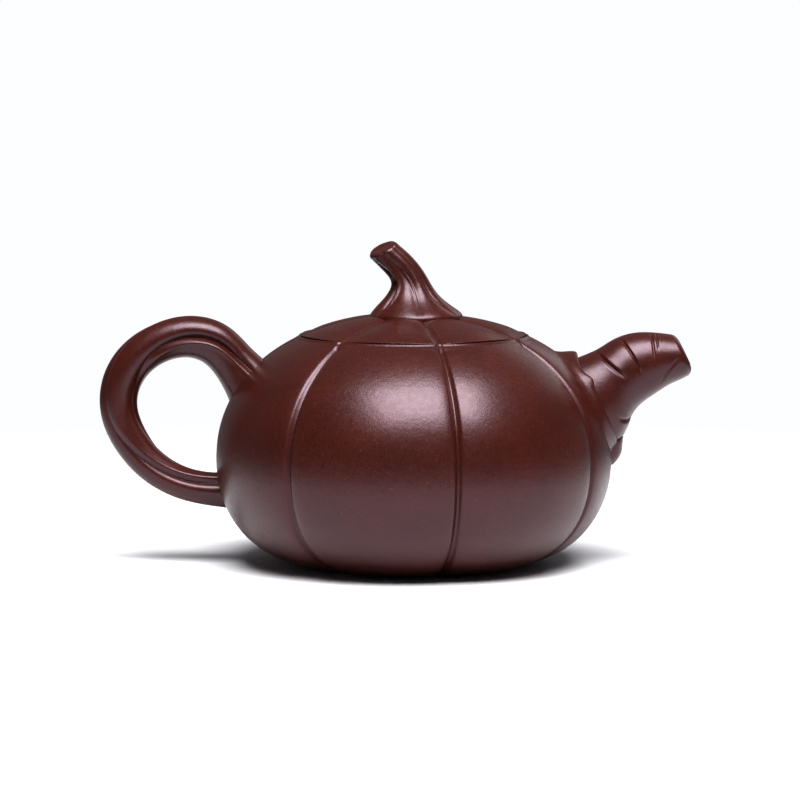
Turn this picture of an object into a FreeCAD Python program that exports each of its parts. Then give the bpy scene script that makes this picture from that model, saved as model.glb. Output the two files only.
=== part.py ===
"""Pumpkin-shaped unglazed stoneware teapot: seven-lobed body, vine handle, leaf spout and a stem-knobbed lid.

Millimetres. +Z is up, and the origin is the centre of the face that the pot stands on.
The spout leaves along +X from the middle of a lobe. The handle is at -X, on a valley between two lobes.
"""

import FreeCAD, Part
import math
import os

from FreeCAD import Placement, Rotation, Vector

# Body: seven lobes under one rounded outline.
LOBES = 7
LOBE_RADIUS = 50.4
VALLEY_SHARE = 0.962
WIDEST_Z = 27.0
TOP_RISE = 36.6
UPPER_R_POWER = 2.17
UPPER_Z_POWER = 2.2
LOWER_R_POWER = 3.9
LOWER_Z_POWER = 2.05
WALL = 3.0

# Foot: the lobes end in a flat ring, and the base slab is pressed up inside it.
FOOT_OUTER_R = 26.5
FOOT_INNER_R = 21.5
BASE_RECESS = 1.0
BASE_THICK = 3.0

# Mouth: the lid is cut from the top of the pumpkin, so its edge is flush with the body.
SEAM_R = 28.8
MOUTH_RING_OUTER_R = 26.8
MOUTH_R = 24.8
MOUTH_RING_DEPTH = 4.5

# Lid: a cap with a flange that reaches down inside the mouth. The vent lets air in as the tea is poured.
# LID_STEPS are the radii between the edge and the top at which the cap follows the pumpkin's outline.
LID_STEPS = [25.5, 21.0, 16.0, 11.0, 6.0]
LID_THICK = 3.0
FLANGE_CLEARANCE = 0.3
FLANGE_WALL = 2.2
FLANGE_DEPTH = 7.0
FLANGE_BITE = 0.9  # how far the flange reaches up past the seam's level, into the cap
VENT_R = 0.8
VENT_AT_R = 15.5

# Stem on the lid: a ribbed stalk that flares into roots and leans towards the handle.
# Each section is round, and spans two opposite edge points of the stalk's side view.
STEM_RIBS = 7
STEM_VALLEY_SHARE = 0.88
STEM_SECTIONS = [
    # left x, left z, right x, right z
    (-11.2, 61.2, 13.2, 61.2), (-10.7, 63.5, 12.4, 63.5), (-9.4, 65.4, 10.1, 65.4), (-7.6, 67.3, 7.4, 67.5),
    (-6.1, 69.6, 5.1, 70.3), (-5.6, 71.6, 3.0, 74.0), (-6.3, 73.2, 1.0, 76.8), (-7.8, 74.9, -1.3, 79.2),
    (-9.6, 76.8, -3.9, 81.4), (-11.6, 78.9, -6.1, 83.6),
]
STEM_CUT_AT = (-8.1, 80.1)
STEM_CUT_LEAN = -38.0

# Spout: a tapering tube with a curved underside and an obliquely cut mouth.
# Each section is an oval across the spout, from a point on its upper side to one on its underside.
SPOUT_SECTIONS = [
    # top x, top z, bottom x, bottom z, half the width
    (36.5, 50.5, 45.5, 26.5, 11.2), (44.3, 53.5, 52.2, 31.0, 10.2), (47.2, 54.9, 54.2, 34.4, 9.4),
    (50.4, 56.9, 55.6, 37.9, 8.7), (54.0, 58.4, 58.0, 40.9, 8.0), (58.0, 59.0, 61.6, 43.5, 7.3),
    (62.5, 58.8, 65.6, 46.0, 6.6), (67.2, 58.1, 70.4, 48.5, 5.7), (71.5, 57.2, 73.0, 51.8, 5.0),
]
SPOUT_WALL = 1.9
SPOUT_CUT_AT = (68.8, 53.9)
SPOUT_CUT_PITCH = 26.0

# Leaf that wraps the spout's root and ends in a hanging tip. Its sections are given as the spout's are.
LEAF_SECTIONS = [
    (31.1, 54.4, 42.9, 23.6, 15.5), (36.7, 54.8, 47.3, 27.2, 14.0), (41.2, 54.4, 50.4, 30.4, 12.4),
]
LEAF_TIP_OUTLINE = [(48.5, 33.5), (53.6, 35.5), (53.9, 30.0), (53.0, 27.6), (50.9, 26.2), (49.0, 28.0)]
LEAF_TIP_WIDTH = 9.0

# Strainer: a pierced dome plugged into the wall behind the spout.
STRAINER_R = 8.6
STRAINER_SKIRT = 6.5
STRAINER_WALL = 1.5
STRAINER_AT = (42.5, 40.5)
STRAINER_PITCH = 26.0
STRAINER_HOLE_R = 0.9
STRAINER_RINGS = [(28.0, 6), (55.0, 11)]  # tilt of a ring's holes from the dome's axis, and their count
SOCKET_DEPTH = 6.0
SOCKET_RUN = 30.0

# Handle: one grooved vine that turns slowly about itself.
HANDLE_SECTIONS = [
    # x, z, radius
    (-36.5, 38.5, 7.4), (-41.8, 46.6, 6.1), (-45.6, 51.4, 5.5), (-50.0, 55.8, 5.35), (-56.0, 57.8, 5.1),
    (-63.0, 56.8, 4.85), (-69.8, 52.7, 4.75), (-74.0, 46.2, 4.65), (-74.6, 38.6, 4.45), (-71.6, 31.3, 4.3),
    (-66.0, 24.8, 4.1), (-58.6, 20.6, 3.95), (-51.0, 19.0, 4.0), (-43.5, 18.6, 4.3),
]
HANDLE_RIDGES = 3
HANDLE_VALLEY_SHARE = 0.84
HANDLE_TURN = 144.0  # how far the ridges turn about the vine from root to root
HANDLE_STEPS = 20


def arc(first, middle, last):
    """An arc edge through three points."""
    return Part.Arc(first, middle, last).toShape()


def lobed_wire(crest_r, valley_share, count, turn=0.0):
    """A closed outline in the XY plane: equal arcs that meet in valleys, the first crest at angle turn."""
    step = 2 * math.pi / count
    start = math.radians(turn)

    def at(radius, angle):
        return Vector(radius * math.cos(angle), radius * math.sin(angle), 0)

    edges = []
    for index in range(count):
        crest = start + index * step
        first = at(crest_r * valley_share, crest - step / 2)
        last = at(crest_r * valley_share, crest + step / 2)
        edges.append(arc(first, at(crest_r, crest), last))
    return Part.Wire(edges)


def ring(outer_r, inner_r, low_z, high_z):
    """A plain ring about the Z axis."""
    outer = Part.makeCylinder(outer_r, high_z - low_z, Vector(0, 0, low_z))
    return outer.cut(Part.makeCylinder(inner_r, high_z - low_z, Vector(0, 0, low_z)))


def lift(wire, height):
    """A wire of the XY plane raised to a height."""
    wire.translate(Vector(0, 0, height))
    return wire


def upper_height(radius, inset=0.0):
    """Height of the pumpkin's upper outline above a lobe's crest radius."""
    share = 1 - (radius / (LOBE_RADIUS - inset)) ** UPPER_R_POWER
    return WIDEST_Z + (TOP_RISE - inset) * share ** (1 / UPPER_Z_POWER)


def lower_steps(end_r, low_z, inset=0.0, count=7):
    """Radius and height pairs down the lower outline, from just below the widest place to end_r at low_z."""
    crest_r = LOBE_RADIUS - inset
    last_angle = math.acos((end_r / crest_r) ** (LOWER_R_POWER / 2))
    fall = (WIDEST_Z - low_z) / math.sin(last_angle) ** (2 / LOWER_Z_POWER)
    steps = []
    for index in range(1, count + 1):
        angle = last_angle * index / count
        radius = crest_r * math.cos(angle) ** (2 / LOWER_R_POWER)
        steps.append((radius, WIDEST_Z - fall * math.sin(angle) ** (2 / LOWER_Z_POWER)))
    return steps


def upper_steps(end_r, inset=0.0, count=6):
    """Radius and height pairs up the upper outline, from the widest place to end_r."""
    crest_r = LOBE_RADIUS - inset
    last_angle = math.acos((end_r / crest_r) ** (UPPER_R_POWER / 2))
    steps = []
    for index in range(count + 1):
        angle = last_angle * index / count
        radius = crest_r * math.cos(angle) ** (2 / UPPER_R_POWER)
        steps.append((radius, upper_height(radius, inset)))
    return steps


def lobed_solid(steps):
    """A solid through lobed outlines of the given radii and heights."""
    wires = [lift(lobed_wire(radius, VALLEY_SHARE, LOBES), height) for radius, height in steps]
    return Part.makeLoft(wires, True, False)


def pumpkin(end_r, foot_r, low_z, inset=0.0):
    """The lobed pumpkin from its foot to the outline's radius end_r."""
    lower = lower_steps(foot_r, low_z, inset)
    return lobed_solid(list(reversed(lower)) + upper_steps(end_r, inset))


def tilted(wire, centre, pitch):
    """A wire of the XY plane moved to (x, z), its normal pitched up from +X by an angle in degrees."""
    x, z = centre
    turn = Rotation(Vector(0, 1, 0), 90 - pitch)
    moved = wire.copy()
    moved.Placement = Placement(Vector(x, 0, z), turn)
    return moved


def oval_wire(half_height, half_width):
    """An ellipse in the XY plane whose X half-size becomes the height once it is tilted."""
    if half_height > half_width:
        return Part.Wire([Part.Ellipse(Vector(0, 0, 0), half_height, half_width).toShape()])
    if half_height < half_width:
        oval = Part.Wire([Part.Ellipse(Vector(0, 0, 0), half_width, half_height).toShape()])
        return oval.rotated(Vector(0, 0, 0), Vector(0, 0, 1), 90)
    return Part.Wire([Part.Circle(Vector(0, 0, 0), Vector(0, 0, 1), half_height).toShape()])


def across(first, last):
    """Middle, half length and pitch of a section that spans two (x, z) points, the first one uppermost."""
    x = first[0] - last[0]
    z = first[1] - last[1]
    middle = ((first[0] + last[0]) / 2, (first[1] + last[1]) / 2)
    return middle, math.hypot(x, z) / 2, math.degrees(math.atan2(-x, z))


def tube(sections, inset=0.0):
    """A solid through ovals that span a top and a bottom point, and have half their width as a fifth value."""
    wires = []
    for top_x, top_z, bottom_x, bottom_z, half_width in sections:
        middle, half_height, pitch = across((top_x, top_z), (bottom_x, bottom_z))
        wires.append(tilted(oval_wire(half_height - inset, half_width - inset), middle, pitch))
    return Part.makeLoft(wires, True, False)


def half_space(point, pitch, size=60.0):
    """A block that fills everything beyond a plane through (x, z) whose normal is pitched up from +X."""
    block = Part.makeBox(size, size, size, Vector(-size / 2, -size / 2, 0))
    block.Placement = Placement(Vector(point[0], 0, point[1]), Rotation(Vector(0, 1, 0), 90 - pitch))
    return block


def pointing(shape, point, pitch):
    """A shape along +Z moved to (x, z) and turned to point along +X, pitched up."""
    moved = shape.copy()
    moved.Placement = Placement(Vector(point[0], 0, point[1]), Rotation(Vector(0, 1, 0), 90 - pitch))
    return moved


def make_strainer():
    """Pierced dome with a skirt. The dome bulges into the tea, away from the spout."""
    outer = Part.makeSphere(STRAINER_R).fuse(Part.makeCylinder(STRAINER_R, STRAINER_SKIRT))
    hollow_r = STRAINER_R - STRAINER_WALL
    inner = Part.makeSphere(hollow_r).fuse(Part.makeCylinder(hollow_r, STRAINER_SKIRT + STRAINER_R))
    corner = Vector(-2 * STRAINER_R, -2 * STRAINER_R, STRAINER_SKIRT)
    front = Part.makeBox(4 * STRAINER_R, 4 * STRAINER_R, 2 * STRAINER_R, corner)
    dome = outer.cut(front).cut(inner)
    drill = Part.makeCylinder(STRAINER_HOLE_R, 2 * STRAINER_R, Vector(0, 0, 0), Vector(0, 0, -1))
    dome = dome.cut(drill)
    for tilt, count in STRAINER_RINGS:
        leaning = drill.rotated(Vector(0, 0, 0), Vector(0, 1, 0), tilt)
        for index in range(count):
            dome = dome.cut(leaning.rotated(Vector(0, 0, 0), Vector(0, 0, 1), 360.0 * index / count))
    return pointing(dome, STRAINER_AT, STRAINER_PITCH)


def make_handle_blank():
    """The vine from inside the upper wall round to inside the lower wall."""
    # The curve's Y is the vine's radius, so one curve gives both the line and the thickness.
    spine = Part.BSplineCurve()
    spine.interpolate([Vector(x, radius, z) for x, z, radius in HANDLE_SECTIONS])
    first, last = spine.FirstParameter, spine.LastParameter
    wires = []
    for index in range(HANDLE_STEPS + 1):
        share = index / HANDLE_STEPS
        parameter = first + (last - first) * share
        centre = spine.value(parameter)
        along = spine.tangent(parameter)[0]
        wire = lobed_wire(centre.y, HANDLE_VALLEY_SHARE, HANDLE_RIDGES, HANDLE_TURN * share)
        pitch = math.degrees(math.atan2(along.z, along.x))
        wires.append(tilted(wire, (centre.x, centre.z), pitch))
    return Part.makeLoft(wires, True, False)


def make_stem_blank():
    """The ribbed stem, from inside the lid to past its cut end."""
    wires = []
    for left_x, left_z, right_x, right_z in STEM_SECTIONS:
        middle, radius, pitch = across((left_x, left_z), (right_x, right_z))
        wires.append(tilted(lobed_wire(radius, STEM_VALLEY_SHARE, STEM_RIBS), middle, pitch))
    stem = Part.makeLoft(wires, True, False)
    return stem.cut(half_space(STEM_CUT_AT, 90.0 - STEM_CUT_LEAN))


def make_leaf_tip():
    """The leaf's pointed end, hanging under the spout."""
    outline = [Vector(x, 0, z) for x, z in LEAF_TIP_OUTLINE]
    face = Part.Face(Part.makePolygon(outline + outline[:1]))
    tip = face.extrude(Vector(0, LEAF_TIP_WIDTH, 0))
    tip.translate(Vector(0, -LEAF_TIP_WIDTH / 2, 0))
    return tip


def make_lid_dome():
    """Lobed cap cut from the top of the pumpkin, hollowed underneath."""
    seam_z = upper_height(SEAM_R)
    steps = [(SEAM_R, seam_z)]
    for radius in LID_STEPS:
        steps.append((radius, upper_height(radius)))
    cap = lobed_solid(steps)
    hollow_r = MOUTH_R - FLANGE_CLEARANCE
    crown_z = upper_height(0) - LID_THICK
    rise = crown_z - seam_z
    ball_r = (hollow_r ** 2 + rise ** 2) / (2 * rise)
    ball = Part.makeSphere(ball_r, Vector(0, 0, crown_z - ball_r))
    hollow = ball.common(Part.makeCylinder(hollow_r, 2 * rise, Vector(0, 0, seam_z)))
    vent = Part.makeCylinder(VENT_R, TOP_RISE, Vector(0, VENT_AT_R, seam_z))
    return cap.cut(hollow).cut(vent)


def build():
    """Every clay piece, by name."""
    seam_z = upper_height(SEAM_R)
    outside = pumpkin(SEAM_R, FOOT_OUTER_R, 0.0)
    floor_z = BASE_RECESS + BASE_THICK
    chamber = pumpkin(MOUTH_RING_OUTER_R, FOOT_OUTER_R, floor_z, WALL)

    mouth_ring = ring(MOUTH_RING_OUTER_R, MOUTH_R, seam_z - MOUTH_RING_DEPTH, seam_z)
    ring_bottom = Vector(0, 0, seam_z - MOUTH_RING_DEPTH)
    mouth_cut = Part.makeCylinder(MOUTH_RING_OUTER_R, 2 * MOUTH_RING_DEPTH, ring_bottom)
    base_hole = Part.makeCylinder(FOOT_INNER_R, 2 * floor_z)
    socket = Part.makeCylinder(STRAINER_R, SOCKET_DEPTH + SOCKET_RUN, Vector(0, 0, -SOCKET_DEPTH))
    socket = pointing(socket, STRAINER_AT, STRAINER_PITCH)

    body_wall = outside.cut(chamber).cut(mouth_cut).cut(base_hole).cut(socket)
    base_slab = Part.makeCylinder(FOOT_INNER_R, BASE_THICK, Vector(0, 0, BASE_RECESS))

    bore = tube(SPOUT_SECTIONS, SPOUT_WALL)
    spout_blank = tube(SPOUT_SECTIONS)
    spout = spout_blank.cut(outside).cut(bore).cut(half_space(SPOUT_CUT_AT, SPOUT_CUT_PITCH))
    leaf = tube(LEAF_SECTIONS).cut(outside).cut(spout_blank)
    leaf_tip = make_leaf_tip().cut(outside).cut(spout_blank).cut(leaf)
    strainer = make_strainer().common(outside)

    handle = make_handle_blank().cut(outside)
    lid_dome = make_lid_dome()
    flange_outer_r = MOUTH_R - FLANGE_CLEARANCE
    flange = ring(flange_outer_r, flange_outer_r - FLANGE_WALL, seam_z - FLANGE_DEPTH, seam_z + FLANGE_BITE)
    flange = flange.cut(lid_dome)
    stem = make_stem_blank().cut(lid_dome)

    return {
        "body_wall": body_wall,
        "base_slab": base_slab,
        "mouth_ring": mouth_ring,
        "spout": spout,
        "spout_leaf": leaf,
        "spout_leaf_tip": leaf_tip,
        "strainer": strainer,
        "handle": handle,
        "lid_dome": lid_dome,
        "lid_flange": flange,
        "stem_knob": stem,
    }


os.makedirs("parts", exist_ok=True)
for name, shape in build().items():
    sizes = [round(solid.Volume, 1) for solid in shape.Solids]
    box = shape.BoundBox
    print(name, "valid", shape.isValid(), "solids", sizes, "x", round(box.XMin, 1), round(box.XMax, 1),
          "z", round(box.ZMin, 1), round(box.ZMax, 1))
    shape.exportStep("parts/%s.step" % name)
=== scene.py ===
"""Looks of a pumpkin-shaped unglazed stoneware teapot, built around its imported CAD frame.

Shapes are worked out in millimetres and scaled to metres when a mesh is made. The pot stands on z = 0, its
spout leaves along +X from the middle of a lobe, and the handle is at -X on a valley between two lobes.
"""

import math

import bmesh
import bpy
import numpy as np
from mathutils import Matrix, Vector


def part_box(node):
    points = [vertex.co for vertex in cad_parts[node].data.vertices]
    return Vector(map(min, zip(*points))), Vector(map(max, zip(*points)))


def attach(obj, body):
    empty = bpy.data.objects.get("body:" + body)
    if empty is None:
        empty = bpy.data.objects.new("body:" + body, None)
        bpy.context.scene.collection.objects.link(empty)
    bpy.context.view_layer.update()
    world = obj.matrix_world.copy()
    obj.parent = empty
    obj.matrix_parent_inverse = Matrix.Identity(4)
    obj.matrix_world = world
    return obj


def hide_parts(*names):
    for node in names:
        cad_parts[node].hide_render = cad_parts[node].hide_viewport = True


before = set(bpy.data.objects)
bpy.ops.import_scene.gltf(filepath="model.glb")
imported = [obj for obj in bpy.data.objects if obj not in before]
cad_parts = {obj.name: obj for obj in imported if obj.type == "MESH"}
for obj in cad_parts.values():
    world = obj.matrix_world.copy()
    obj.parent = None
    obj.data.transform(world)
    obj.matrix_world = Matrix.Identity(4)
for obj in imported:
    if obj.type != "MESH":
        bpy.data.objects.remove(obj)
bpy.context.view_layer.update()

MM = 0.001

# The pumpkin's outline, as in the CAD model.
LOBES = 7
LOBE_STEP = 2 * math.pi / LOBES
LOBE_RADIUS = 50.4
WIDEST_Z = 27.0
TOP_RISE = 36.6
UPPER_POWERS = (2.17, 2.2)
LOWER_POWERS = (3.9, 2.05)
FOOT_OUTER_R = 26.5
FOOT_INNER_R = 21.5
FLOOR_Z = 4.0
WALL = 3.0
SEAM_R = 28.8
MOUTH_RING_OUTER_R = 26.8
MOUTH_R = 24.8
SEAM_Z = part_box("mouth_ring")[1].z / MM

# Valleys between the lobes: a soft fall on each side of a narrow channel with a flat bottom.
CHANNEL_DEPTH = 0.6
CHANNEL_BOTTOM = 0.42
CHANNEL_WALL = 0.65
VALLEY_FALL = 0.95
VALLEY_REACH = 1.7
LOBE_CROWN = 0.5
COLUMNS_PER_LOBE = 56

# The lid's lobes: shallower valleys, rounder lobes towards the stem, and a rise above the body's outline.
LID_VALLEY_SHARE = 0.8
LID_SWELL = 1.6
LID_SWELL_REACH = 7.0
LID_RISE = 0.35

# The seam: a raised bead on the body's rim, and the lid's edge a little inside it.
BEAD_HEIGHT = 0.30
BEAD_FROM_SEAM = 0.38
BEAD_HALF_WIDTH = 0.36
SEAM_GAP = 0.28
SEAT_GAP = 0.12
RIM_BAND = 1.9
RIM_EDGE = [
    # radius, depth below the seam, share of the valleys' depth
    (SEAM_R + 0.08, 0.10, 1.0), (SEAM_R - 0.1, 0.30, 1.0), (SEAM_R - 0.3, 0.7, 0.9),
    (SEAM_R - 1.0, 0.0, 0.5), (SEAM_R - 1.6, 0.0, 0.15), (MOUTH_RING_OUTER_R + 0.05, 0.0, 0.0),
]

# The wall from the base slab's edge, under the foot ring and out to the belly.
FOOT_RING = [
    # radius, height, how far inwards the valleys push, share of their depth
    (FOOT_INNER_R + 0.02, FLOOR_Z, 1.0, 0.0), (FOOT_INNER_R + 0.02, 0.45, 1.0, 0.0),
    (FOOT_INNER_R + 0.15, 0.12, 1.0, 0.0), (FOOT_INNER_R + 0.5, 0.0, 1.0, 0.1),
    (FOOT_OUTER_R - 2.0, 0.0, 1.0, 0.35), (FOOT_OUTER_R - 0.7, 0.0, 0.95, 0.8),
]
BELLY_ROWS = 72
CHAMBER_ROWS = 36

# The rings inside the mouth and under the lid, and the vent at the back of the lid.
MOUTH_RING_HEIGHT = 4.5
FLANGE_OUTER_R = MOUTH_R - 0.3
FLANGE_INNER_R = MOUTH_R - 2.5
FLANGE_DROP = 7.0
FLANGE_RISE = 0.6
VENT_R = 0.8
VENT_AT_R = 15.5
VENT_REACH = 15.0


# ---------------------------------------------------------------- general geometry


def smooth(value):
    """0 to 1 with flat ends."""
    value = np.clip(value, 0.0, 1.0)
    return value * value * (3 - 2 * value)


def chord_places(points):
    """Where each point of a path lies along it, from 0 to 1, by the straight distance between points."""
    points = np.asarray(points, float)
    steps = np.linalg.norm(np.diff(points, axis=0), axis=1)
    return np.concatenate([[0.0], np.cumsum(steps)]) / steps.sum()


def spline(points, places, knots=None):
    """Smooth values at places (0 to 1) through a list of points: a natural cubic spline."""
    points = np.asarray(points, float)
    values = points.reshape(len(points), -1)
    count = len(values)
    knots = np.linspace(0, 1, count) if knots is None else knots
    gaps = np.diff(knots)
    slopes = np.diff(values, axis=0) / gaps[:, None]
    system = np.eye(count)
    right = np.zeros_like(values)
    for index in range(1, count - 1):
        system[index, index - 1:index + 2] = gaps[index - 1], 2 * (gaps[index - 1] + gaps[index]), gaps[index]
        right[index] = 6 * (slopes[index] - slopes[index - 1])
    bends = np.linalg.solve(system, right)
    places = np.clip(np.asarray(places, float), 0, 1)
    low = np.clip(np.searchsorted(knots, places, side="right") - 1, 0, count - 2)
    gap = gaps[low][:, None]
    after = (places - knots[low])[:, None]
    before = gap - after
    result = ((bends[low] * before ** 3 + bends[low + 1] * after ** 3) / (6 * gap)
              + (values[low] / gap - bends[low] * gap / 6) * before
              + (values[low + 1] / gap - bends[low + 1] * gap / 6) * after)
    return result.reshape((len(places),) + points.shape[1:])


def make_object(name, vertices, faces, body, replaced, material):
    """A smooth-shaded piece from vertices in millimetres, riding on its body."""
    mesh = bpy.data.meshes.new(name)
    mesh.from_pydata((np.asarray(vertices) * MM).tolist(), [], faces)
    mesh.polygons.foreach_set("use_smooth", [True] * len(mesh.polygons))
    mesh.update()
    piece = bpy.data.objects.new(name, mesh)
    bpy.context.scene.collection.objects.link(piece)
    piece.data.materials.append(material)
    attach(piece, body)
    if replaced:
        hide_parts(*replaced)
    return piece


def ring_faces(rows, columns, closed_rows=False):
    """Quads between rows of points that close round. With closed_rows, the last row joins the first."""
    faces = []
    for row in range(rows if closed_rows else rows - 1):
        upper = (row + 1) % rows
        for column in range(columns):
            after = (column + 1) % columns
            faces.append((row * columns + column, row * columns + after,
                          upper * columns + after, upper * columns + column))
    return faces


def capped_faces(rows, columns):
    """Quads between the rows, with the first and last rows closed by one polygon each."""
    faces = ring_faces(rows, columns)
    faces.append(tuple(reversed(range(columns))))
    last = (rows - 1) * columns
    faces.append(tuple(range(last, last + columns)))
    return faces


def tidy_normals(piece):
    """Turns every face outwards."""
    work = bmesh.new()
    work.from_mesh(piece.data)
    bmesh.ops.recalc_face_normals(work, faces=work.faces)
    work.to_mesh(piece.data)
    work.free()
    return piece


# ---------------------------------------------------------------- the pumpkin


def outline(foot_r, foot_z, top_r, inset=0.0, count=60):
    """Radii and heights of the pumpkin's outline from its foot to the radius top_r."""
    crest = LOBE_RADIUS - inset
    lower_angle = math.acos((foot_r / crest) ** (LOWER_POWERS[0] / 2))
    fall = (WIDEST_Z - foot_z) / math.sin(lower_angle) ** (2 / LOWER_POWERS[1])
    lower = np.linspace(lower_angle, 0, count)
    low_r = crest * np.cos(lower) ** (2 / LOWER_POWERS[0])
    low_z = WIDEST_Z - fall * np.sin(lower) ** (2 / LOWER_POWERS[1])
    upper_angle = math.acos((top_r / crest) ** (UPPER_POWERS[0] / 2))
    upper = np.linspace(0, upper_angle, count)[1:]
    high_r = crest * np.cos(upper) ** (2 / UPPER_POWERS[0])
    high_z = WIDEST_Z + (TOP_RISE - inset) * np.sin(upper) ** (2 / UPPER_POWERS[1])
    return np.concatenate([low_r, high_r]), np.concatenate([low_z, high_z])


def outline_height(radius):
    """Height of the upper outline above a radius."""
    share = 1 - (np.asarray(radius, float) / LOBE_RADIUS) ** UPPER_POWERS[0]
    return WIDEST_Z + TOP_RISE * share ** (1 / UPPER_POWERS[1])


def lobe_angles(per_lobe):
    """Angles round the pot, closest together near the valleys."""
    share = (np.arange(per_lobe) / per_lobe) * 2 - 1
    inside = np.sin(share * math.pi / 2)
    inside = 0.75 * inside + 0.25 * share
    angles = [lobe * LOBE_STEP + inside * LOBE_STEP / 2 for lobe in range(LOBES)]
    return np.concatenate(angles)


def valley_depth(angle, radius, share=1.0, swell=1.0):
    """How far the surface lies below a lobe's crown, in millimetres. Swell makes the lobes rounder."""
    off = np.abs(angle % LOBE_STEP - LOBE_STEP / 2)
    distance = off * radius
    size = 0.15 + 0.85 * (radius / LOBE_RADIUS) ** 1.4
    channel = share * CHANNEL_DEPTH * size * (1 - smooth((distance - CHANNEL_BOTTOM) / CHANNEL_WALL))
    fall = share * swell * VALLEY_FALL * size * np.exp(-distance / VALLEY_REACH)
    crown = LOBE_CROWN * swell * size * (1 - off / (LOBE_STEP / 2)) ** 2
    return channel + fall + crown


def outline_normals(radii, heights):
    """Unit normals, outwards, of a line of radii and heights that climbs from the foot."""
    along_r = np.gradient(radii)
    along_z = np.gradient(heights)
    length = np.hypot(along_r, along_z)
    return along_z / length, -along_r / length


def turned(rows, angles, **valley):
    """Points of a profile turned about Z.

    A row is (radius, height, inwards, downwards, weight). The valleys push it that way, by their depth times
    the weight.
    """
    radii, heights, inwards, downwards, weights = rows.T
    depth = valley_depth(angles[None, :], radii[:, None], **valley) * weights[:, None]
    radius = radii[:, None] - depth * inwards[:, None]
    height = heights[:, None] - depth * downwards[:, None]
    points = np.stack([radius * np.cos(angles), radius * np.sin(angles), height], axis=-1)
    return points.reshape(-1, 3)


def rounded(corners, radius, steps=5):
    """A closed profile with its corners rounded: (r, z) points."""
    corners = np.asarray(corners, float)
    profile = []
    for index, corner in enumerate(corners):
        before = corners[index - 1] - corner
        after = corners[(index + 1) % len(corners)] - corner
        start = corner + before / np.linalg.norm(before) * min(radius, np.linalg.norm(before) / 2.2)
        end = corner + after / np.linalg.norm(after) * min(radius, np.linalg.norm(after) / 2.2)
        for step in range(steps + 1):
            share = step / steps
            profile.append((1 - share) ** 2 * start + 2 * share * (1 - share) * corner + share ** 2 * end)
    return np.array(profile)


def lathe(name, corners, radius, body, replaced, material, columns=168):
    """A plain turned ring with rounded corners."""
    profile = rounded(corners, radius)
    angles = np.arange(columns) * 2 * math.pi / columns
    rows = [np.stack([r * np.cos(angles), r * np.sin(angles), np.full(columns, z)], axis=-1)
            for r, z in profile]
    piece = make_object(name, np.concatenate(rows), ring_faces(len(rows), columns, True),
                        body, replaced, material)
    return tidy_normals(piece)


def outside_rows():
    """Rows of the belly, the bead and the rim's edge, from the foot to the mouth ring."""
    radii, heights = outline(FOOT_OUTER_R, 0.0, SEAM_R + RIM_BAND, count=BELLY_ROWS)
    rim = len(radii)
    rim_r = np.linspace(SEAM_R + 1.6, SEAM_R + 0.1, 14)
    bead = BEAD_HEIGHT * np.exp(-((rim_r - SEAM_R - BEAD_FROM_SEAM) / BEAD_HALF_WIDTH) ** 2)
    radii = np.concatenate([radii, rim_r])
    heights = np.concatenate([heights, outline_height(rim_r) + bead])
    normal_r, normal_z = outline_normals(radii, heights)
    # The valleys push the rim straight inwards, as they do beside the widest row, so that it stays level.
    lean_r, lean_z = normal_r[BELLY_ROWS - 2], normal_z[BELLY_ROWS - 2]
    normal_r[rim:] = lean_r
    normal_z[rim:] = lean_z
    rows = list(zip(radii, heights, normal_r, normal_z, np.ones_like(radii)))
    rows += [(r, SEAM_Z - drop, lean_r, lean_z, weight) for r, drop, weight in RIM_EDGE]
    rows.append((MOUTH_RING_OUTER_R + 0.02, SEAM_Z - 1.5, 1.0, 0.0, 0.0))
    return rows


def chamber_rows():
    """Rows of the chamber's wall, from the mouth ring down to the floor."""
    radii, heights = outline(FOOT_OUTER_R, FLOOR_Z, MOUTH_RING_OUTER_R, WALL, count=CHAMBER_ROWS)
    normal_r, normal_z = outline_normals(radii, heights)
    return list(zip(radii, heights, normal_r, normal_z, np.full(len(radii), 0.8)))[::-1]


def make_body(material):
    """The lobed wall: foot ring, belly, rim, and the chamber inside, as one closed shell."""
    angles = lobe_angles(COLUMNS_PER_LOBE)
    rows = outside_rows() + chamber_rows()
    rows += [(r, z, inwards, 0.0, weight) for r, z, inwards, weight in FOOT_RING]
    points = turned(np.array(rows), angles)
    piece = make_object("pot_body", points, ring_faces(len(rows), len(angles), True),
                        "pot", ["body_wall"], material)
    return tidy_normals(piece)


def drill(piece, x, y, radius, low, high):
    """Cuts a plain round hole, along Z, through a piece."""
    mesh = bpy.data.meshes.new("drill")
    work = bmesh.new()
    bmesh.ops.create_cone(work, cap_ends=True, segments=40, radius1=radius * MM, radius2=radius * MM,
                          depth=(high - low) * MM)
    bmesh.ops.translate(work, verts=work.verts, vec=(x * MM, y * MM, (low + high) / 2 * MM))
    work.to_mesh(mesh)
    work.free()
    tool = bpy.data.objects.new("drill", mesh)
    bpy.context.scene.collection.objects.link(tool)
    cut = piece.modifiers.new("hole", "BOOLEAN")
    cut.operation = "DIFFERENCE"
    cut.solver = "EXACT"
    cut.object = tool
    bpy.context.view_layer.update()
    drilled = piece.evaluated_get(bpy.context.evaluated_depsgraph_get())
    piece.data = bpy.data.meshes.new_from_object(drilled)
    piece.modifiers.clear()
    bpy.data.objects.remove(tool)
    return piece


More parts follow.
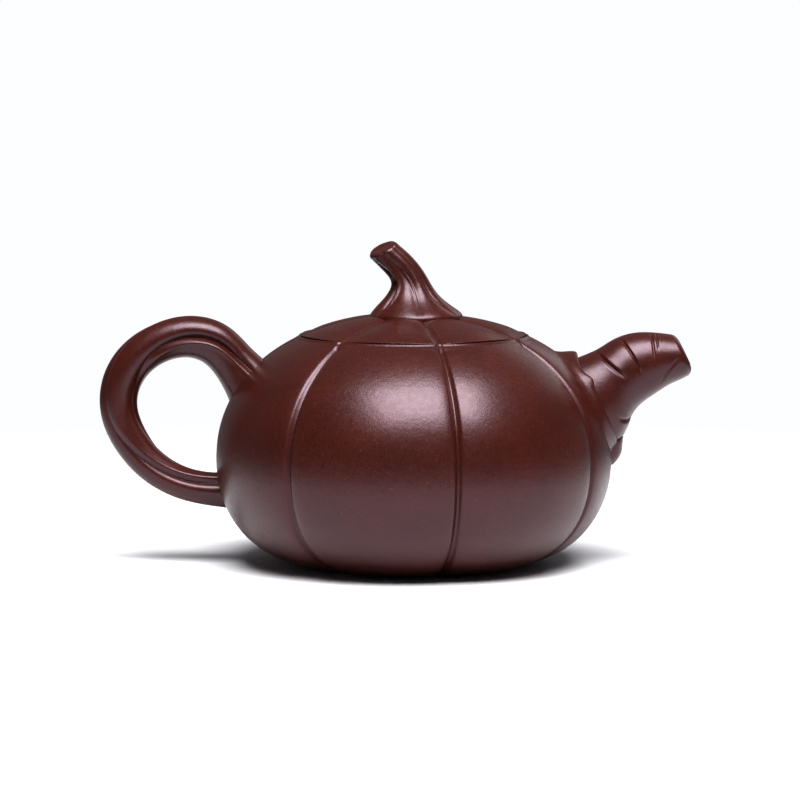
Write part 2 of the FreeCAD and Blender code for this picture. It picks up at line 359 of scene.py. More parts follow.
def make_lid(material):
    """The lobed cap, flush with the body, with a rounded edge and a hollow underside."""
    angles = lobe_angles(COLUMNS_PER_LOBE)
    edge_r = SEAM_R - SEAM_GAP
    radii = np.concatenate([np.linspace(0.4, 12.0, 14), np.linspace(12.6, edge_r - 0.6, 44)])
    heights = outline_height(radii) + LID_RISE * smooth((edge_r - radii) / 5.0) * smooth(radii / 10.0)
    normal_r, normal_z = outline_normals(radii[::-1], heights[::-1])
    normal_r, normal_z = normal_r[::-1], normal_z[::-1]
    fade = smooth((radii - 6.0) / 8.0)
    rows = [(r, z, nr, nz, w) for r, z, nr, nz, w in zip(radii, heights, normal_r, normal_z, fade)]
    lean_r, lean_z = normal_r[-1], normal_z[-1]
    low = SEAM_Z + SEAT_GAP
    for r, z, weight in ((edge_r - 0.25, heights[-1] - 0.16, 1.0), (edge_r - 0.03, low + 0.42, 1.0),
                         (edge_r, low + 0.24, 1.0), (edge_r - 0.1, low + 0.07, 1.0), (edge_r - 0.4, low, 0.9),
                         (edge_r - 1.2, low, 0.4), (edge_r - 2.2, low - 0.08, 0.0),
                         (FLANGE_OUTER_R, low - 0.08, 0.0)):
        rows.append((r, z, lean_r, lean_z, weight))
    crown_z = float(outline_height(0)) - WALL
    rise = crown_z - SEAM_Z
    ball_r = (FLANGE_OUTER_R ** 2 + rise ** 2) / (2 * rise)
    for r in np.linspace(FLANGE_OUTER_R - 0.6, 0.4, 18):
        rows.append((r, crown_z - ball_r + math.sqrt(ball_r ** 2 - r ** 2), 1.0, 0.0, 0.0))
    table = np.array(rows)
    swell = 1 + LID_SWELL * smooth((edge_r - table[:, :1]) / LID_SWELL_REACH)
    points = turned(table, angles, share=LID_VALLEY_SHARE, swell=swell)
    piece = make_object("lid_cap", points, capped_faces(len(rows), len(angles)),
                        "lid", ["lid_dome"], material)
    return drill(tidy_normals(piece), 0.0, VENT_AT_R, VENT_R, SEAM_Z, SEAM_Z + VENT_REACH)


def ring_corners(inner_r, outer_r, low, high):
    """The corners of a plain ring's section."""
    return [(inner_r, low), (outer_r, low), (outer_r, high), (inner_r, high)]


def make_rings(material, lid_material):
    """The plain ring inside the mouth, and the one under the lid that drops into it."""
    mouth = ring_corners(MOUTH_R, MOUTH_RING_OUTER_R, SEAM_Z - MOUTH_RING_HEIGHT, SEAM_Z)
    lathe("mouth_collar", mouth, 0.5, "pot", ["mouth_ring"], material)
    flange = ring_corners(FLANGE_INNER_R, FLANGE_OUTER_R, SEAM_Z - FLANGE_DROP, SEAM_Z + FLANGE_RISE)
    lathe("lid_ring", flange, 0.6, "lid", ["lid_flange"], lid_material)


# ---------------------------------------------------------------- swept pieces


def turns_between(grooves, per_rib):
    """Angles round a ribbed sweep, row by row: columns follow the grooves and lie closest together there."""
    share = np.arange(per_rib) / per_rib
    share = share - 0.8 * np.sin(2 * math.pi * share) / (2 * math.pi)
    after = np.concatenate([grooves[1:], grooves[:1] + 2 * math.pi])
    spans = [first[:, None] + (second - first)[:, None] * share for first, second in zip(grooves, after)]
    return np.concatenate(spans, axis=1)


def groove_dip(off, width, bottom=0.15):
    """A narrow valley with a rounded bottom, 1 deep, at distances off from its line."""
    return np.exp(-(np.hypot(off, bottom) - bottom) / width)


def off_line(turn, line, radius):
    """Distance round a surface from a groove's line, signed."""
    return np.angle(np.exp(1j * (turn - line))) * radius


def around(centres, side, radius, turn):
    """Points at a radius round a path in the XZ plane. Angle 0 is along side, and 90 degrees faces -Y."""
    sideways = radius * np.cos(turn)
    return np.stack([centres[:, :1] + sideways * side[:, :1], -radius * np.sin(turn),
                     centres[:, 1:] + sideways * side[:, 1:]], axis=-1)


HANDLE = [
    # x, z, radius
    (-36.5, 38.5, 8.4), (-41.8, 46.6, 6.5), (-45.6, 51.4, 5.5), (-50.0, 55.8, 5.35), (-56.0, 57.8, 5.1),
    (-63.0, 56.8, 4.85), (-69.8, 52.7, 4.75), (-74.0, 46.2, 4.65), (-74.6, 38.6, 4.45), (-71.6, 31.3, 4.3),
    (-66.0, 24.8, 4.1), (-58.6, 20.6, 3.95), (-51.0, 19.0, 4.05), (-43.5, 18.6, 4.6),
]
# Degrees round to the first valley at even steps from the upper root: 0 is outwards, and 90 faces -Y.
HANDLE_VALLEY = [58, 61, 70, 88, 110, 139, 160, 184, 207, 222, 235]
HANDLE_STRANDS = [
    # degrees after the first valley, then the depth at even steps from the upper root to the lower one
    (0, (0.1, 0.8, 1.7, 1.6, 0.7, 0.35, 0.45, 0.6, 0.7, 0.7, 0.5)),
    (120, (0.1, 0.4, 0.7, 0.7, 0.7, 0.6, 0.6, 0.6, 0.6, 0.6, 0.4)),
    (255, (0.1, 0.3, 0.4, 0.35, 0.3, 0.35, 0.5, 0.8, 1.1, 1.2, 0.8)),
]
VALLEY_WIDTH = 1.0
STRAND_SWELL = 0.25

# A thin ridge runs beside each valley: its height as a share of the valley's depth, its distance, its width.
HANDLE_RIDGE = 0.3
RIDGE_AT = 1.5
RIDGE_WIDTH = 0.7


def make_handle(material):
    """The vine: three strands that turn slowly about each other, flowing into the body at both roots."""
    rows = 300
    places = np.linspace(0, 1, rows)
    table = np.array(HANDLE)
    line = spline(table, places, chord_places(table[:, :2]))
    radii = line[:, 2]
    tangents = np.gradient(line[:, :2], axis=0)
    tangents /= np.linalg.norm(tangents, axis=1)[:, None]
    valley = np.radians(spline(HANDLE_VALLEY, places))
    grooves = np.array([valley + math.radians(after) for after, _ in HANDLE_STRANDS])
    turn = turns_between(grooves, 64)
    radius = np.repeat(radii[:, None] + STRAND_SWELL, turn.shape[1], axis=1)
    for groove, (_, depths) in zip(grooves, HANDLE_STRANDS):
        off = off_line(turn, groove[:, None], radii[:, None])
        depth = spline(depths, places)[:, None]
        ridge = HANDLE_RIDGE * np.exp(-((off - RIDGE_AT) / RIDGE_WIDTH) ** 2)
        radius -= depth * (groove_dip(off, VALLEY_WIDTH) - ridge)
    side = np.stack([tangents[:, 1], -tangents[:, 0]], axis=1)
    points = around(line[:, :2], side, radius, turn)
    piece = make_object("vine_handle", points.reshape(-1, 3), capped_faces(rows, turn.shape[1]),
                        "pot", ["handle"], material)
    return tidy_normals(piece)


def cut_rings(points, rows, point, normal):
    """The same rings, spread again so that each line round the tube ends on the cut plane."""
    above = (points - point) @ normal
    count = len(points)
    result = np.empty((rows, points.shape[1], 3))
    for column in range(points.shape[1]):
        line = above[:, column]
        after = int(np.argmax(line > 0))
        share = line[after - 1] / (line[after - 1] - line[after])
        end = after - 1 + share
        places = np.linspace(0, end, rows)
        for axis in range(3):
            result[:, column, axis] = np.interp(places, np.arange(count), points[:, column, axis])
    return result


STEM = [
    # left x, left z, right x, right z, share of the grooves' depth
    (-11.0, 61.6, 12.6, 61.6, 0.0), (-11.0, 62.7, 12.6, 62.7, 0.0), (-10.8, 63.6, 12.4, 63.6, 0.1),
    (-10.25, 64.3, 11.7, 64.3, 0.4), (-9.3, 65.4, 10.1, 65.4, 0.8), (-7.6, 67.3, 7.4, 67.5, 1.0),
    (-6.1, 69.6, 5.1, 70.3, 1.0), (-5.7, 71.6, 3.0, 74.0, 1.0), (-6.4, 73.2, 1.0, 76.8, 1.0),
    (-7.8, 74.9, -1.3, 79.2, 1.0), (-9.6, 76.8, -3.9, 81.4, 1.0), (-11.6, 78.9, -6.1, 83.6, 1.0),
]
STEM_GROOVES = [
    # degrees round (90 faces -Y), then depth, at the skirt, the neck, above it and the end; then the width
    ((30, 40, 46, 48), (0.5, 0.8, 0.45, 0.1), 0.75), ((91, 82, 95, 99), (0.7, 1.1, 0.8, 0.2), 1.0),
    ((155, 146, 150, 152), (1.2, 2.2, 0.8, 0.1), 0.95), ((200, 194, 199, 200), (0.8, 1.0, 0.6, 0.1), 0.9),
    ((250, 246, 250, 252), (0.8, 1.0, 0.6, 0.1), 0.9), ((301, 298, 301, 303), (0.8, 1.0, 0.6, 0.1), 0.9),
    ((345, 346, 350, 352), (0.7, 0.9, 0.6, 0.1), 0.9),
]
STEM_SWELL = 0.25

# A thin ridge splits the front groove and fades out before the cut. A rounded fold stands beside another one.
FRONT_GROOVE = 1
FRONT_RIDGE = 0.45
FRONT_RIDGE_WIDTH = 0.42
FOLD_GROOVE = 2
FOLD = 0.35
FOLD_AT = -1.7
FOLD_WIDTH = 0.6

# The cut: a point on it and the way it faces.
STEM_CUT = ((-8.0, 0.0, 80.4), (-0.507, -0.207, 0.836))
STEM_EDGE_R = 1.0


def cut_stem(points, across):
    """The rings up to the slanting cut, with a round edge and a shallow hollow in the cut face."""
    point, normal = (np.array(value, float) for value in STEM_CUT)
    normal /= np.linalg.norm(normal)
    last = np.array([-across[-1, 1], 0.0, across[-1, 0]])
    points = cut_rings(points, 260, point, normal)
    left = np.clip(1 - np.clip((point - points) @ normal, 0, None) / STEM_EDGE_R, 0, 1)
    bend = STEM_EDGE_R * (1 - np.sqrt(1 - left ** 2))[..., None]
    outward = points - points[-1].mean(axis=0)
    outward -= (outward @ last)[..., None] * last
    points = points - bend * outward / np.linalg.norm(outward, axis=-1, keepdims=True)
    end = points[-1]
    centre = end.mean(axis=0)
    rings = [end + (centre - end) * share - normal * drop
             for share, drop in ((0.1, 0.0), (0.22, 0.06), (0.36, 0.14), (0.55, 0.2), (0.85, 0.24))]
    return np.concatenate([points, np.array(rings)])


def make_stem(material):
    """The pumpkin's stalk: ribs that spread into roots on the lid, and a slanting cut end."""
    rows = 240
    places = np.linspace(0, 1, rows)
    table = np.array(STEM)
    line = spline(table, places, chord_places((table[:, :2] + table[:, 2:4]) / 2))
    across = (line[:, 2:4] - line[:, :2]) / 2
    radii = np.linalg.norm(across, axis=1)
    across /= radii[:, None]
    share = np.clip(line[:, 4], 0, 1)[:, None]
    grooves = np.array([np.radians(spline(angles, places)) for angles, _, _ in STEM_GROOVES])
    turn = turns_between(grooves, 34)
    radius = np.repeat(radii[:, None], turn.shape[1], axis=1) + STEM_SWELL * share
    for number, (_, depths, width) in enumerate(STEM_GROOVES):
        off = off_line(turn, grooves[number][:, None], radii[:, None])
        dip = groove_dip(off, width, 0.3)
        if number == FRONT_GROOVE:
            fade = smooth((0.8 - places) / 0.3)[:, None]
            dip -= FRONT_RIDGE * fade * np.exp(-(off / FRONT_RIDGE_WIDTH) ** 2)
        if number == FOLD_GROOVE:
            dip -= FOLD * np.exp(-((off - FOLD_AT) / FOLD_WIDTH) ** 2)
        radius -= spline(depths, places)[:, None] * share * dip
    points = cut_stem(around((line[:, :2] + line[:, 2:4]) / 2, across, radius, turn), across)
    piece = make_object("stem", points.reshape(-1, 3), capped_faces(len(points), turn.shape[1]),
                        "lid", ["stem_knob"], material)
    return tidy_normals(piece)


SPOUT = [
    # top x, top z, bottom x, bottom z, half the width
    (36.5, 50.5, 45.5, 26.5, 11.2), (44.3, 53.5, 52.2, 31.0, 10.2), (47.2, 54.9, 54.2, 34.4, 9.4),
    (50.4, 56.9, 55.6, 37.9, 8.7), (54.0, 58.4, 58.0, 40.9, 8.0), (58.0, 59.0, 61.6, 43.5, 7.3),
    (62.5, 58.8, 65.6, 46.0, 6.6), (67.2, 58.1, 70.4, 48.5, 5.7), (71.5, 57.2, 73.0, 51.8, 5.0),
]
# The cut: a point's x and z, and how far it faces up from +X, in degrees.
SPOUT_CUT = ((68.8, 53.9), 26.0)
SPOUT_WALL = 1.9
LIP_TOP_R = 1.0
LIP_BOTTOM_R = 1.75

# Carved lines of the rolled leaf: points of (share of the length, degrees round from the top towards the
# front), depth and width in millimetres, and how far the leaf stands up on the line's far side.
SPOUT_LINES = [
    ([(0.335, 15), (0.37, 42), (0.44, 72), (0.52, 96)], 0.42, 0.36, 0.32),
    ([(0.545, 14), (0.565, 40), (0.60, 70), (0.62, 102)], 0.42, 0.32, 0.30),
    ([(0.79, 10), (0.785, 35), (0.77, 60), (0.75, 88)], 0.36, 0.27, 0.16),
    ([(0.83, 14), (0.825, 32), (0.815, 50), (0.80, 68)], 0.26, 0.22, 0.10),
    ([(0.96, 84), (0.885, 102), (0.80, 122), (0.74, 138)], 0.32, 0.36, 0.22),
    ([(0.46, 176), (0.39, 150), (0.30, 118)], 0.42, 0.42, 0.35),
    ([(0.50, 255), (0.58, 230), (0.66, 200)], 0.35, 0.40, 0.25),
    ([(0.36, 340), (0.44, 300), (0.50, 262)], 0.42, 0.36, 0.3),
    ([(0.62, 345), (0.64, 300), (0.60, 255)], 0.40, 0.34, 0.25),
    ([(0.80, 330), (0.79, 285), (0.76, 245)], 0.35, 0.30, 0.18),
]
SPOUT_LENGTH = 34.0
SPOUT_GIRTH_R = 8.0
LINE_TAPER = 0.3


def spout_rings(inset, rows, columns):
    """Rings of the spout's outside, or of its bore, that run past the slanting cut."""
    table = np.array(SPOUT)
    middles = (table[:, :2] + table[:, 2:4]) / 2
    line = spline(table, np.linspace(0, 1, rows), chord_places(middles))
    centres = (line[:, :2] + line[:, 2:4]) / 2
    up = line[:, :2] - centres
    heights = np.linalg.norm(up, axis=1)
    up /= heights[:, None]
    heights = heights - inset
    widths = line[:, 4] - inset
    turn = np.arange(columns) * 2 * math.pi / columns
    x = centres[:, :1] + heights[:, None] * np.cos(turn) * up[:, :1]
    z = centres[:, 1:] + heights[:, None] * np.cos(turn) * up[:, 1:]
    y = -widths[:, None] * np.sin(turn)
    return np.stack([x, y, z], axis=-1)


def carve(places, turn):
    """Height of the leaf's carving on the spout, in millimetres. The lines taper out at both ends."""
    height = np.zeros(np.broadcast(places, turn).shape)
    for points, depth, width, stand in SPOUT_LINES:
        line = spline(points, np.linspace(0, 1, 24))
        middle = line[:, 1].mean()
        wrapped = (turn - middle + 180) % 360 - 180 + middle
        round_by = np.radians(wrapped) * SPOUT_GIRTH_R
        spot = np.stack(np.broadcast_arrays(places * SPOUT_LENGTH, round_by), axis=-1)
        track = np.stack([line[:, 0] * SPOUT_LENGTH, np.radians(line[:, 1]) * SPOUT_GIRTH_R], axis=-1)
        run = np.diff(track, axis=0)
        offset = spot[..., None, :] - track[:-1]
        share = np.clip((offset * run).sum(axis=-1) / (run ** 2).sum(axis=-1), 0, 1)
        gap = offset - share[..., None] * run
        distance = np.hypot(gap[..., 0], gap[..., 1])
        best = distance.argmin(axis=-1)[..., None]
        nearest = np.take_along_axis(distance, best, axis=-1)[..., 0]
        side = gap[..., 0] * run[:, 1] - gap[..., 1] * run[:, 0]
        side = np.take_along_axis(side, best, axis=-1)[..., 0]
        along = (best + np.take_along_axis(share, best, axis=-1))[..., 0] / len(run)
        fade = smooth(along / LINE_TAPER) * smooth((1 - along) / LINE_TAPER)
        in_line = np.exp(-(nearest / width) ** 2)
        roll = np.where(side > 0, stand * np.exp(-nearest / (5 * width)), 0) * (1 - in_line)
        height += fade * (roll - depth * in_line)
    return height


def make_spout(material):
    """The hollow spout, carved as a rolled leaf, with a rounded lip."""
    rows, columns = 240, 168
    (x, z), pitch = SPOUT_CUT
    point = np.array([x, 0, z])
    normal = np.array([math.cos(math.radians(pitch)), 0, math.sin(math.radians(pitch))])
    outside = cut_rings(spout_rings(0.0, 260, columns), rows, point, normal)
    inside = cut_rings(spout_rings(SPOUT_WALL, 260, columns), 60, point, normal)
    middle = outside.mean(axis=1, keepdims=True)
    outward = outside - middle
    outward /= np.linalg.norm(outward, axis=-1, keepdims=True)
    places = np.linspace(0, 1, rows)[:, None]
    turn = np.arange(columns) * 360.0 / columns
    left = np.clip((point - outside) @ normal, 0, None)
    lip = LIP_TOP_R + (LIP_BOTTOM_R - LIP_TOP_R) * (1 - np.cos(np.radians(turn))) / 2
    rounding = lip * (1 - np.sqrt(1 - np.clip(1 - left / lip, 0, 1) ** 2))
    outside = outside + outward * (carve(places, turn[None, :]) * smooth(left / 1.5) - rounding)[..., None]
    rim = [outside[-1] * (1 - share) + inside[-1] * share + normal * rise
           for share, rise in ((0.15, 0.05), (0.4, 0.07), (0.7, 0.02), (0.92, -0.1))]
    points = np.concatenate([outside, np.array(rim), inside[::-1]])
    piece = make_object("spout_tube", points.reshape(-1, 3), ring_faces(len(points), columns, True),
                        "pot", ["spout"], material)
    return tidy_normals(piece)


def body_radius(angle, height):
    """Radius of the pot's outside at an angle and a height."""
    height = np.clip(height, 0.2, SEAM_Z)
    upper = LOBE_RADIUS * np.clip(1 - (np.clip(height - WIDEST_Z, 0, None) / TOP_RISE) ** UPPER_POWERS[1],
                                  0, 1) ** (1 / UPPER_POWERS[0])
    lower_angle = math.acos((FOOT_OUTER_R / LOBE_RADIUS) ** (LOWER_POWERS[0] / 2))
    fall = WIDEST_Z / math.sin(lower_angle) ** (2 / LOWER_POWERS[1])
    lower = LOBE_RADIUS * np.clip(1 - (np.clip(WIDEST_Z - height, 0, None) / fall) ** LOWER_POWERS[1],
                                  0, 1) ** (1 / LOWER_POWERS[0])
    plain = np.where(height > WIDEST_Z, upper, lower)
    return plain - valley_depth(angle, plain)


AXIS_PITCH = math.radians(22.0)
SPOUT_AXIS = np.array([math.cos(AXIS_PITCH), 0, math.sin(AXIS_PITCH)])
SPOUT_UP = np.array([-math.sin(AXIS_PITCH), 0, math.cos(AXIS_PITCH)])
SPOUT_SIDE = np.array([0, -1.0, 0])
COLLAR_CENTRE = np.array([38.0, 0, 39.4])


def on_body(across, upward):
    """Points of the pot's outside seen along the spout's axis: across to the front, upward along SPOUT_UP."""
    base = COLLAR_CENTRE + across[..., None] * SPOUT_SIDE + upward[..., None] * SPOUT_UP
    low = np.full(across.shape, -30.0)
    high = np.full(across.shape, 40.0)
    for _ in range(40):
        middle = (low + high) / 2
        point = base + middle[..., None] * SPOUT_AXIS
        outside = np.hypot(point[..., 0], point[..., 1]) - body_radius(
            np.arctan2(point[..., 1], point[..., 0]), point[..., 2])
        low = np.where(outside < 0, middle, low)
        high = np.where(outside < 0, high, middle)
    return base + low[..., None] * SPOUT_AXIS


COLLAR_HALF_HEIGHT = 14.4
COLLAR_HALF_WIDTH = 13.6

# How far round from the top towards the front the collar's curl stands, how wide it is, and how wide the rise
# at the top is.
CURL_TURN = math.radians(64)
CURL_SPREAD = math.radians(10)
TOP_SPREAD = math.radians(34)
COLLAR_PROFILE = [
    # share of the way out, how far it stands off the body, and how much more at the curl and at the top
    (0.62, -1.5, 0, 0), (0.65, 2.8, 0, 0.5), (0.70, 1.6, -0.3, 1.0), (0.745, 0.55, -0.7, 1.3),
    (0.79, 0.6, -0.8, 1.5), (0.835, 1.3, 0.5, 1.8), (0.88, 1.8, 1.1, 1.8), (0.925, 1.6, 0.8, 1.4),
    (0.965, 0.9, 0.3, 0.8), (1.0, 0.4, 0.1, 0.3), (1.035, 0.05, 0, 0.1), (1.06, -0.25, 0, 0),
    (1.06, -0.9, 0, 0), (1.0, -1.5, 0, 0),
]


def spline_rows(rows, count):
    """More rows, smoothly, between a few."""
    shape = rows.shape
    return spline(rows.reshape(shape[0], -1), np.linspace(0, 1, count)).reshape(count, *shape[1:])


def make_collar(material):
    """The leaf that wraps the spout's root: a hollow between the tube and a curled lip on the body."""
    columns = 168
    turn = np.arange(columns) * 2 * math.pi / columns
    lip_high = COLLAR_HALF_HEIGHT - 0.8 * np.cos(turn) + 0.3 * np.cos(3 * turn + 0.6)
    lip_wide = COLLAR_HALF_WIDTH + 0.4 * np.sin(4 * turn)
    near_curl = np.exp(-((turn - CURL_TURN) / CURL_SPREAD) ** 2)
    near_top = np.exp(-(off_line(turn, 0.0, 1.0) / TOP_SPREAD) ** 2)
    rings = []
    for share, stand, curl, top in COLLAR_PROFILE:
        across = lip_wide * share * np.sin(turn)
        upward = lip_high * share * np.cos(turn)
        stand_by = stand + curl * near_curl + top * near_top
        rings.append(on_body(across, upward) + stand_by[:, None] * SPOUT_AXIS)
    rings = spline_rows(np.array(rings), 70)
    piece = make_object("spout_collar", rings.reshape(-1, 3), ring_faces(len(rings), columns, True),
                        "pot", ["spout_leaf"], material)
    return tidy_normals(piece)


# The leaf's end: half its width and its thickness at even steps, and where it starts and ends under the axis.
LEAF_HALF_WIDTH = [3.6, 4.6, 4.8, 4.2, 2.9, 0.25]
LEAF_THICKNESS = [3.4, 3.6, 3.3, 3.0, 2.6, 1.0]
LEAF_SPAN = (-9.6, -17.9)


def make_leaf_tip(material):
    """The leaf's end, hanging under the spout against the body."""
    rows, columns = 48, 64
    places = np.linspace(0, 1, rows)
    half = spline(LEAF_HALF_WIDTH, places)
    thick = spline(LEAF_THICKNESS, places)
    upward = np.linspace(*LEAF_SPAN, rows)
    turn = np.arange(columns) * 2 * math.pi / columns
    rings = []
    for row in range(rows):
        across = half[row] * np.sign(np.sin(turn)) * np.abs(np.sin(turn)) ** 0.8
        keel = 0.25 * np.exp(-(across / 0.5) ** 2)
        stand = np.where(np.cos(turn) > 0, thick[row] * np.abs(np.cos(turn)) ** 0.6 - keel, -1.5)
        rings.append(on_body(across, np.full(columns, upward[row])) + stand[:, None] * SPOUT_AXIS)
    piece = make_object("leaf_point", np.array(rings).reshape(-1, 3), capped_faces(rows, columns),
                        "pot", ["spout_leaf_tip"], material)
    return tidy_normals(piece)


# ---------------------------------------------------------------- clay


CLAY = (0.044, 0.0078, 0.0043)
INSIDE_TONE = 1.08
ROUGHNESS = 0.32
INSIDE_ROUGHNESS = 0.45
ROUGHNESS_SPREAD = (-0.11, 0.12)
SPECULAR = 0.48
SPECULAR_TINT = (1.0, 0.83, 0.96, 1.0)
BLACK = (0, 0, 0, 1)
WHITE = (1, 1, 1, 1)

# How often each pattern repeats, per metre.
MOTTLE_SCALE = 90.0
PALE_GRAIN_SCALE = 1500.0
DARK_GRAIN_SCALE = 1900.0
SHEEN_SCALE = 700.0

# Bumps: repeats per metre, detail, roughness of the noise, strength, height in metres.
FINE_BUMP = (1150.0, 4.0, 0.6, 0.6, 0.00006)
BROAD_BUMP = (380.0, 3.0, 0.5, 0.20, 0.0002)


def noise(tree, scale, detail, rough=0.5):
    """Grey noise in the piece's own space."""
    node = tree.nodes.new("ShaderNodeTexNoise")
    node.inputs["Scale"].default_value = scale
    node.inputs["Detail"].default_value = detail
    node.inputs["Roughness"].default_value = rough
    tree.links.new(tree.nodes["place"].outputs["Object"], node.inputs["Vector"])
    return node.outputs["Fac"]


def ramp(tree, source, first, last):
    """A colour ramp between two (position, colour) stops."""
    node = tree.nodes.new("ShaderNodeValToRGB")
    tree.links.new(source, node.inputs["Fac"])
    elements = node.color_ramp.elements
    elements[0].position, elements[0].color = first
    elements[1].position, elements[1].color = last
    return node.outputs["Color"]


def mix(tree, factor, first, second):
    """Two colours, or two sockets, mixed by a socket."""
    node = tree.nodes.new("ShaderNodeMix")
    node.data_type = "RGBA"
    tree.links.new(factor, node.inputs["Factor"])
    for source, socket in ((first, node.inputs[6]), (second, node.inputs[7])):
        if isinstance(source, tuple):
            socket.default_value = source
        else:
            tree.links.new(source, socket)
    return node.outputs[2]


def tone(base, share):
    """A darker or paler colour of the same clay."""
    return tuple(channel * share for channel in base) + (1.0,)


def clay_colour(tree, base):
    """A faint mottle with sparse pale grains and dark specks."""
    mottle = ramp(tree, noise(tree, MOTTLE_SCALE, 4.0), (0.3, tone(base, 0.86)), (0.7, tone(base, 1.14)))
    grains = tree.nodes.new("ShaderNodeTexVoronoi")
    grains.inputs["Scale"].default_value = PALE_GRAIN_SCALE
    tree.links.new(tree.nodes["place"].outputs["Object"], grains.inputs["Vector"])
    picked = ramp(tree, grains.outputs["Color"], (0.80, BLACK), (0.92, WHITE))
    spot = ramp(tree, grains.outputs["Distance"], (0.16, WHITE), (0.34, BLACK))
    pale = mix(tree, picked, BLACK, spot)
    pale_tone = (base[0] * 1.9 + 0.02, base[1] * 2.0 + 0.015, base[2] * 1.8 + 0.012, 1.0)
    speckled = mix(tree, pale, mottle, pale_tone)
    specks = ramp(tree, noise(tree, DARK_GRAIN_SCALE, 2.0, 0.6), (0.34, WHITE), (0.42, BLACK))
    return mix(tree, specks, speckled, tone(base, 0.62))


def clay_roughness(tree, roughness):
    """Roughness that wanders, since the skin is burnished by hand."""
    spread = tree.nodes.new("ShaderNodeMapRange")
    tree.links.new(noise(tree, SHEEN_SCALE, 5.0, 0.65), spread.inputs["Value"])
    spread.inputs["To Min"].default_value = roughness + ROUGHNESS_SPREAD[0]
    spread.inputs["To Max"].default_value = roughness + ROUGHNESS_SPREAD[1]
    return spread.outputs["Result"]


def bump(tree, scale, detail, rough, strength, height):
    """A bump node over noise."""
    node = tree.nodes.new("ShaderNodeBump")
    node.inputs["Strength"].default_value = strength
    node.inputs["Distance"].default_value = height
    tree.links.new(noise(tree, scale, detail, rough), node.inputs["Height"])
    return node


def clay(name, base, roughness):
    """Unglazed purple-brown stoneware: sandy specks, a faint mottle and a burnished, finely pitted skin."""
    material = bpy.data.materials.new(name)
    material.use_nodes = True
    tree = material.node_tree
    tree.nodes.new("ShaderNodeTexCoord").name = "place"
    shader = tree.nodes["Principled BSDF"]
    tree.links.new(clay_colour(tree, base), shader.inputs["Base Color"])
    tree.links.new(clay_roughness(tree, roughness), shader.inputs["Roughness"])
    shader.inputs["Specular IOR Level"].default_value = SPECULAR
    shader.inputs["Specular Tint"].default_value = SPECULAR_TINT
    fine = bump(tree, *FINE_BUMP)
    broad = bump(tree, *BROAD_BUMP)
    tree.links.new(broad.outputs["Normal"], fine.inputs["Normal"])
    tree.links.new(fine.outputs["Normal"], shader.inputs["Normal"])
    return material


def colour_inside(material):
    """Gives the CAD's own base slab and strainer their clay."""
    for name in ("base_slab", "strainer"):
        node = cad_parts[name]
        node.data.materials.clear()
        node.data.materials.append(material)


# ---------------------------------------------------------------- stage

# In metres: where the floor starts to fade into the surround, and where it has gone.
FLOOR_FADE = (0.10, 0.36)
FLOOR_COLOUR = (0.79, 0.795, 0.82, 1)

# The surround: its colour to the camera, and the colour and brightness of its light from front and back.
WORLD_SEEN = (0.985, 0.99, 1.0, 1)
WORLD_LIGHT = (0.93, 0.94, 1.0, 1)
WORLD_FRONT = 0.04
WORLD_BACK = 0.22

# In metres and degrees; the lens and its sensor are in millimetres.
CAMERA_DISTANCE = 0.981
CAMERA_HEIGHT = 0.1393
CAMERA_X = -0.0033
CAMERA_PITCH = 5.68
SENSOR_WIDTH = 36.0
LENS = 174.6405
VIEW_GAMMA = 0.86


def make_floor():
    """A plain pale floor that fades into the surround some way from the pot."""
    mesh = bpy.data.meshes.new("floor")
    size = FLOOR_FADE[1]
    corners = [(-size, -size, 0), (size, -size, 0), (size, size, 0), (-size, size, 0)]
    mesh.from_pydata(corners, [], [(0, 1, 2, 3)])
    floor = bpy.data.objects.new("floor", mesh)
    bpy.context.scene.collection.objects.link(floor)
    material = bpy.data.materials.new("pale_floor")
    material.use_nodes = True
    nodes, links = material.node_tree.nodes, material.node_tree.links
    shader = nodes["Principled BSDF"]
    shader.inputs["Base Color"].default_value = FLOOR_COLOUR
    shader.inputs["Roughness"].default_value = 0.8
    shader.inputs["Specular IOR Level"].default_value = 0.1
    place = nodes.new("ShaderNodeTexCoord")
    length = nodes.new("ShaderNodeVectorMath")
    length.operation = "LENGTH"
    links.new(place.outputs["Object"], length.inputs[0])
    fade = nodes.new("ShaderNodeMapRange")
    fade.interpolation_type = "SMOOTHSTEP"
    fade.inputs["From Min"].default_value = FLOOR_FADE[0]
    fade.inputs["From Max"].default_value = FLOOR_FADE[1]
    links.new(length.outputs["Value"], fade.inputs["Value"])
    clear = nodes.new("ShaderNodeBsdfTransparent")
    blend = nodes.new("ShaderNodeMixShader")
    links.new(fade.outputs["Result"], blend.inputs["Fac"])
    links.new(shader.outputs["BSDF"], blend.inputs[1])
    links.new(clear.outputs["BSDF"], blend.inputs[2])
    links.new(blend.outputs["Shader"], nodes["Material Output"].inputs["Surface"])
    mesh.materials.append(material)


def area_light(name, place, target, size, power):
    """A soft box at a place, pointed at a target, in metres and watts."""
    data = bpy.data.lights.new(name, "AREA")
    data.shape = "RECTANGLE"
    data.size, data.size_y = size
    data.energy = power
    light = bpy.data.objects.new(name, data)
    light.location = place
    light.rotation_euler = (Vector(target) - Vector(place)).to_track_quat("-Z", "Y").to_euler()
    bpy.context.scene.collection.objects.link(light)


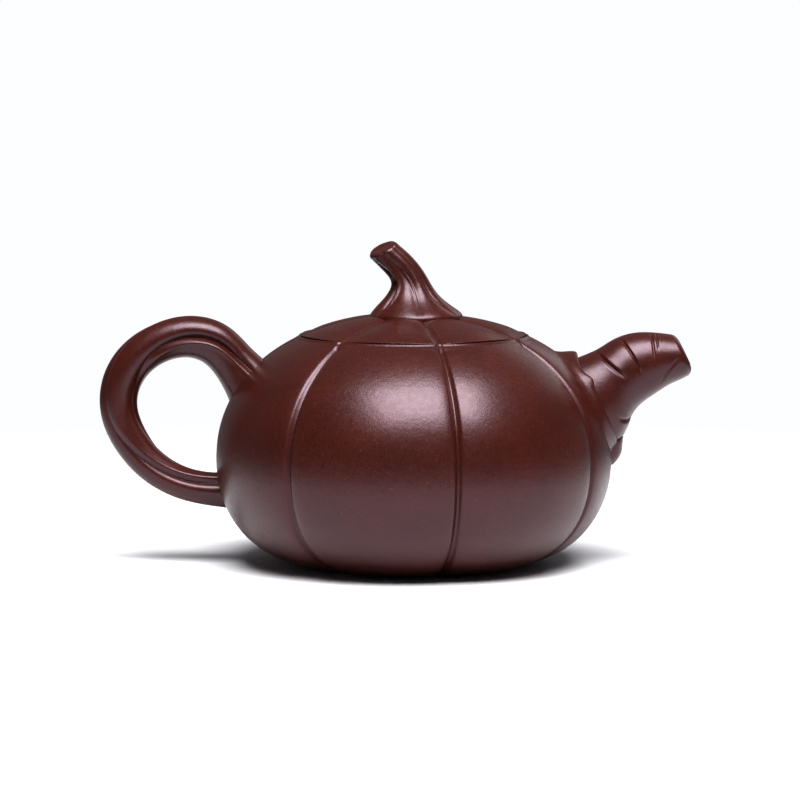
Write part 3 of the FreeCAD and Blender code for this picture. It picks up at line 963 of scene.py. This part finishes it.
def make_world():
    """A white surround that the camera sees, and a dimmer one, palest behind the pot, that lights it."""
    world = bpy.data.worlds.new("studio")
    world.use_nodes = True
    nodes, links = world.node_tree.nodes, world.node_tree.links
    seen = nodes["Background"]
    seen.inputs["Color"].default_value = WORLD_SEEN
    seen.inputs["Strength"].default_value = 1.0
    lighting = nodes.new("ShaderNodeBackground")
    place = nodes.new("ShaderNodeTexCoord")
    split = nodes.new("ShaderNodeSeparateXYZ")
    links.new(place.outputs["Generated"], split.inputs["Vector"])
    depth = nodes.new("ShaderNodeMapRange")
    depth.inputs["From Min"].default_value = -0.35
    depth.inputs["From Max"].default_value = 0.75
    depth.inputs["To Min"].default_value = WORLD_FRONT
    depth.inputs["To Max"].default_value = WORLD_BACK
    links.new(split.outputs["Y"], depth.inputs["Value"])
    links.new(depth.outputs["Result"], lighting.inputs["Strength"])
    lighting.inputs["Color"].default_value = WORLD_LIGHT
    rays = nodes.new("ShaderNodeLightPath")
    choose = nodes.new("ShaderNodeMixShader")
    links.new(rays.outputs["Is Camera Ray"], choose.inputs["Fac"])
    links.new(lighting.outputs["Background"], choose.inputs[1])
    links.new(seen.outputs["Background"], choose.inputs[2])
    links.new(choose.outputs["Shader"], nodes["World Output"].inputs["Surface"])
    bpy.context.scene.world = world


def make_lights():
    """One wide soft box high in front, and a weak one behind on the right that lifts the shadows."""
    middle = (0, 0, 0.035)
    area_light("key", place=(0.09, -0.47, 1.00), target=middle, size=(0.94, 0.76), power=37.0)
    area_light("back", place=(0.55, 0.80, 0.50), target=middle, size=(0.6, 0.5), power=0.9)


def make_camera():
    """A long lens, a little above the pot, level with the picture's frame."""
    data = bpy.data.cameras.new("camera")
    data.sensor_width = SENSOR_WIDTH
    data.lens = LENS
    camera = bpy.data.objects.new("camera", data)
    camera.location = (CAMERA_X, -CAMERA_DISTANCE, CAMERA_HEIGHT)
    camera.rotation_euler = (math.radians(90 - CAMERA_PITCH), 0, 0)
    bpy.context.scene.collection.objects.link(camera)
    bpy.context.scene.camera = camera


# ---------------------------------------------------------------- the scene

body_clay = clay("zisha_body", CLAY, ROUGHNESS)
inner_clay = clay("zisha_inside", tuple(channel * INSIDE_TONE for channel in CLAY), INSIDE_ROUGHNESS)

make_camera()
make_world()
make_lights()
make_floor()
make_body(body_clay)
make_lid(body_clay)
make_stem(body_clay)
make_handle(body_clay)
make_spout(body_clay)
make_collar(body_clay)
make_leaf_tip(body_clay)
make_rings(inner_clay, body_clay)
colour_inside(inner_clay)

bpy.context.scene.view_settings.view_transform = "Standard"
bpy.context.scene.view_settings.gamma = VIEW_GAMMA
